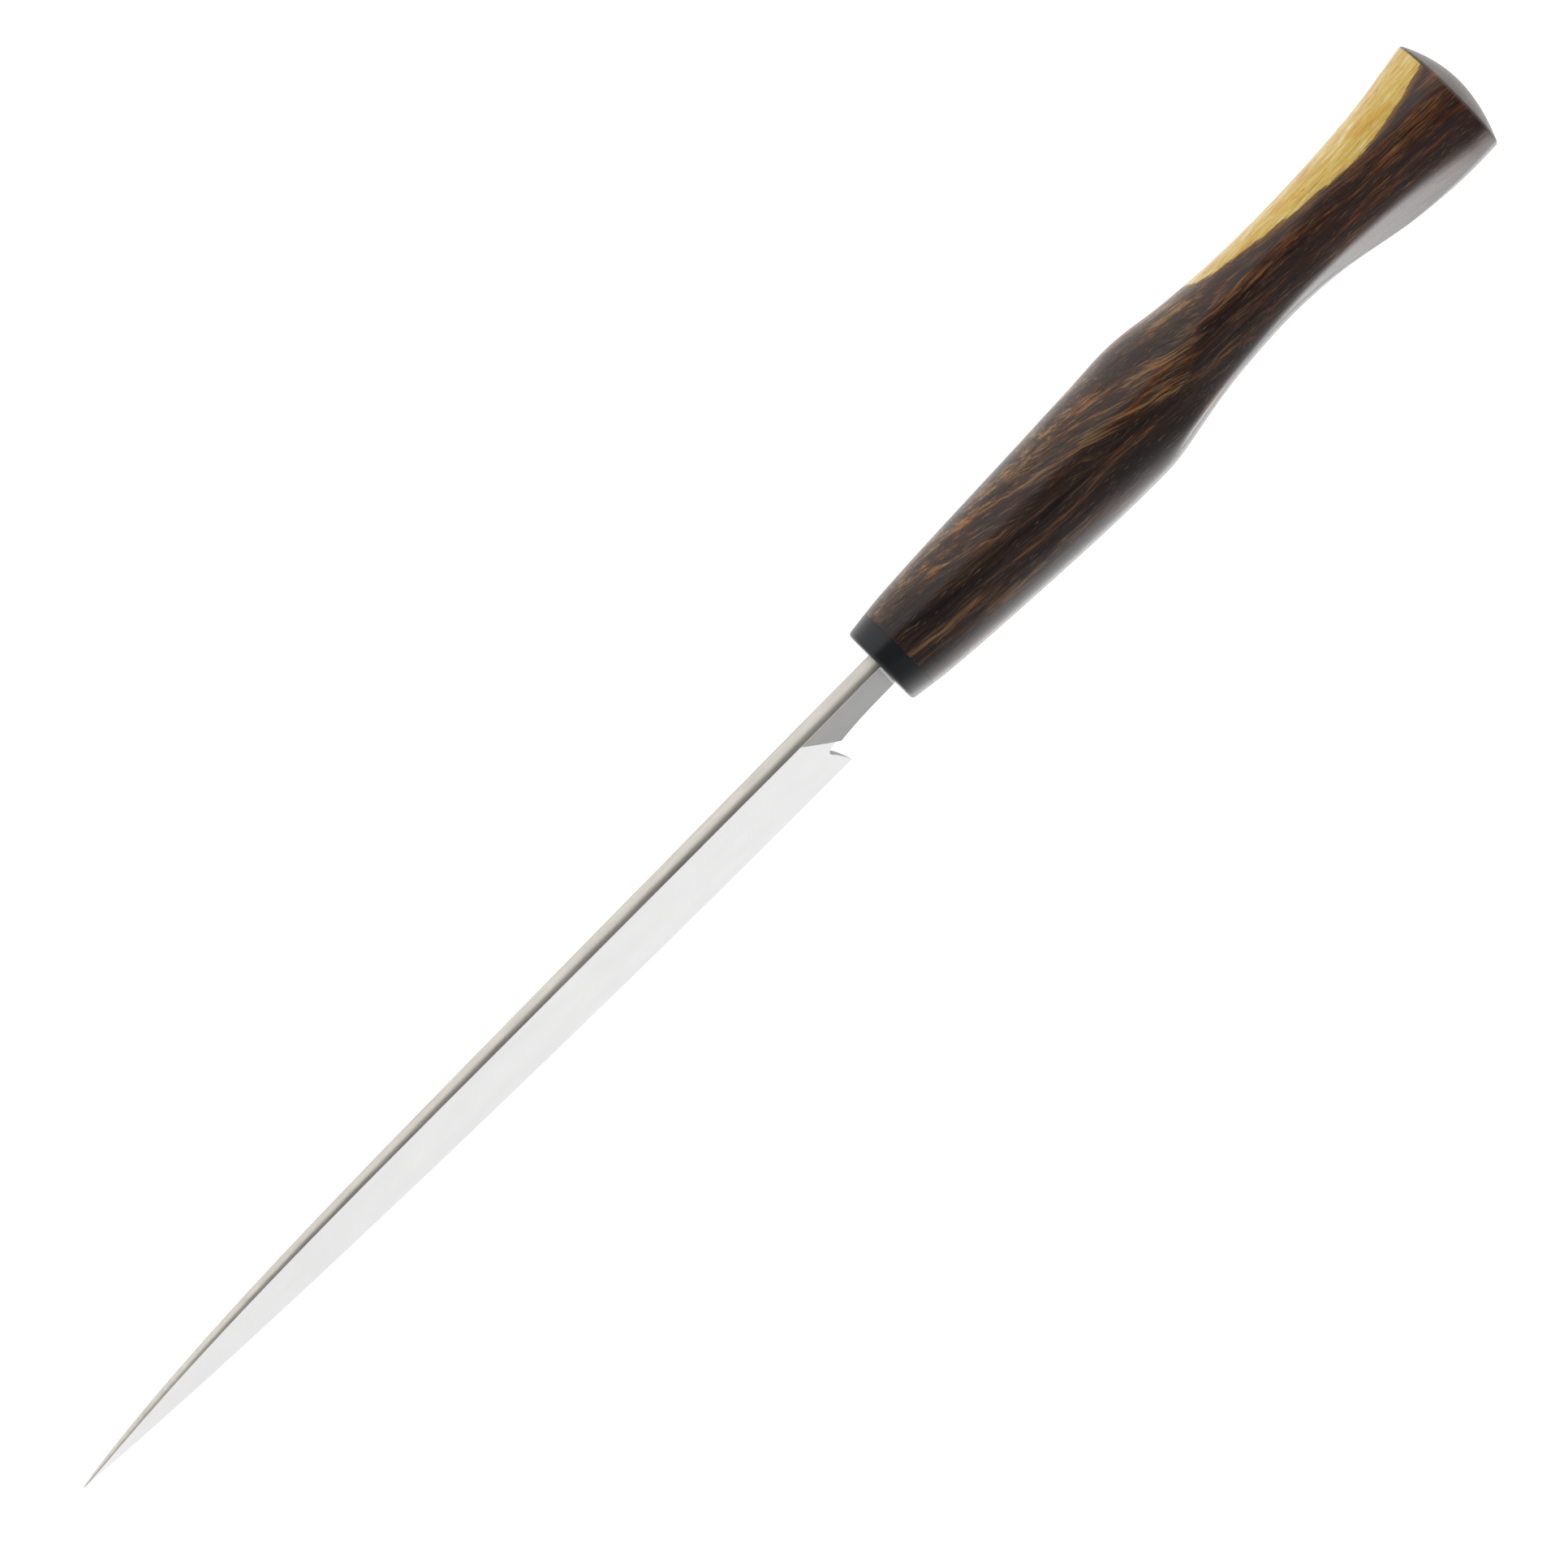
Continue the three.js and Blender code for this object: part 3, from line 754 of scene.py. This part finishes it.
def wood_material():
    m = Wood()
    bands, streaks, veins, fibres = m.figure()
    inside = m.inside_sapwood()
    colour = m.heartwood(bands, streaks, veins, fibres)
    colour = m.mix(m.step(inside, -4, -1.5, 0.5), colour, BESIDE_SAP)
    edge_start = m.scaled(m.step(m.x, SAP_PEAK_X - 2, SAP_PEAK_X - 8), -0.3, -1.1)
    colour = m.mix(m.step(inside, edge_start, 0, 0.75), colour, SAP_EDGE)
    colour = m.mix(m.step(inside, -0.02, 0.2), colour, m.sapwood())
    colour = m.mix(m.math("MULTIPLY", m.end_grain, 0.5), colour, END_GRAIN)

    # Open pores: short dashes along the grain
    pores = m.step(m.noise(m.plank, PORE, 1), 0.66, 0.74)
    pore_colour = m.mix(m.step(inside, 0, 0.2), HEART_PORE, SAP_PORE)
    colour = m.mix(m.math("MULTIPLY", pores, 0.6), colour, pore_colour)
    relief = m.math("SUBTRACT", m.math("MULTIPLY", fibres, 0.5), pores)
    return m.surface({
        "Base Color": colour,
        "Roughness": m.math("MULTIPLY_ADD", m.end_grain, 0.08, m.scaled(fibres, 0.22, 0.32)),
        "IOR": 1.4,
        "Normal": m.bump(relief, 0.5, 0.03 * MM),
    })


def bedding_material():
    m = Shader("bedding_epoxy")
    bubbles = m.noise(m.position, (0.6, 0.6, 0.6), 2)
    clouds = m.noise(m.position, (4, 4, 4), 3)
    return m.surface({
        "Base Color": m.ramp(clouds, [(0.3, (0.50, 0.38, 0.18)), (0.7, (0.66, 0.54, 0.30))]),
        "Roughness": m.scaled(clouds, 0.25, 0.45),
        "Normal": m.bump(m.step(bubbles, 0.62, 0.7), 0.3, 0.05 * MM),
    })


# Pieces

face_steel = steel_material("blade_face", (0.43, 0.43, 0.428), 0.34, 62)
ricasso_steel = steel_material("blade_ricasso", (0.168, 0.166, 0.163), 0.4, 90, 0.12)
spine_steel = steel_material("blade_spine", (0.55, 0.52, 0.47), 0.37, 0, 0.12)
# Lighter steel for the strip next to the ferrule: a painted highlight for the lit chamfer there, not a
# different polish
highlight_steel = steel_material("blade_painted_highlight", (0.38, 0.376, 0.372), 0.4, 90)
pin_steel = steel_material("pin_steel", (0.55, 0.55, 0.54), 0.35, 0)

build_blade(face_steel, ricasso_steel, spine_steel, highlight_steel)
build_ferrule(ferrule_material())
build_handle(wood_material())

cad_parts["tang_bedding"].material_slots[0].material = bedding_material()
for name in ("ferrule_pin_spine", "ferrule_pin_belly"):
    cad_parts[name].material_slots[0].material = pin_steel


# Studio

def build_floor():
    m = Shader("studio_floor")
    clouds = m.noise(m.position, (250, 250, 250), 2)
    m.surface({
        "Base Color": m.ramp(clouds, [(0.3, (0.24, 0.24, 0.24)), (0.7, (0.25, 0.25, 0.25))]),
        "Roughness": 0.8,
        "Emission Color": (1.0, 1.0, 1.0),
        "Emission Strength": FLOOR_GLOW,
    })
    data = bpy.data.meshes.new("floor")
    corners = [(x * FLOOR_REACH, y * FLOOR_REACH, 0) for x, y in ((-1, -1), (1, -1), (1, 1), (-1, 1))]
    data.from_pydata(corners, [], [(0, 1, 2, 3)])
    data.materials.append(m.material)
    floor = bpy.data.objects.new("floor", data)
    bpy.context.scene.collection.objects.link(floor)


def build_world():
    """A soft studio: bright behind the knife, with a dim ceiling, and dark round the camera."""
    world = bpy.data.worlds.new("studio")
    world.use_nodes = True
    bpy.context.scene.world = world
    w = Nodes(world.node_tree)
    x, y, z = w.split(w.node("TexCoord", {}).outputs["Generated"])
    height = w.math("ARCTAN2", z, w.math("MULTIPLY", y, -1))
    sky = w.ramp(w.math("DIVIDE", height, math.pi), [(share, (level,) * 3) for share, level in SKY])
    sky = w.mix(w.step(w.math("ABSOLUTE", x), 0, SIDE_START), sky, (SIDE_SKY,) * 3)
    seen = w.node("LightPath", {}).outputs["Is Camera Ray"]
    background = w.tree.nodes["Background"].inputs
    w.plug(background["Color"], w.mix(seen, sky, (1.0, 1.0, 1.0)))


def build_fill():
    """A large soft light beside the camera that isn't mirrored in the gloss."""
    data = bpy.data.lights.new("fill", "AREA")
    data.shape = "DISK"
    data.size = FILL_SIZE
    data.energy = FILL_POWER
    light = bpy.data.objects.new("fill", data)
    light.location = FILL_PLACE
    light.rotation_euler = light.location.to_track_quat("Z", "Y").to_euler()
    light.visible_glossy = False
    bpy.context.scene.collection.objects.link(light)


def build_camera():
    data = bpy.data.cameras.new("camera")
    data.sensor_width = SENSOR_WIDTH
    data.lens = SENSOR_WIDTH * CAMERA_DISTANCE / (IMAGE_WIDTH * PIXEL_SIZE)
    data.clip_end = VIEW_DEPTH
    camera = bpy.data.objects.new("camera", data)
    axis = Vector((1, 0, 0))
    side = Vector((0, math.sin(CAMERA_TILT), math.cos(CAMERA_TILT)))
    back = Vector((0, -math.cos(CAMERA_TILT), math.sin(CAMERA_TILT)))
    left, down = KNIFE_SLOPE
    right = down * side - left * axis
    up = -down * axis - left * side
    turned = Matrix((right, up, back)).transposed().to_4x4()
    camera.matrix_world = Matrix.Translation(place(CAMERA_TARGET) + back * CAMERA_DISTANCE * MM) @ turned
    bpy.context.scene.collection.objects.link(camera)
    bpy.context.scene.camera = camera


build_floor()
build_world()
build_fill()
build_camera()
bpy.context.scene.view_settings.view_transform = "Standard"
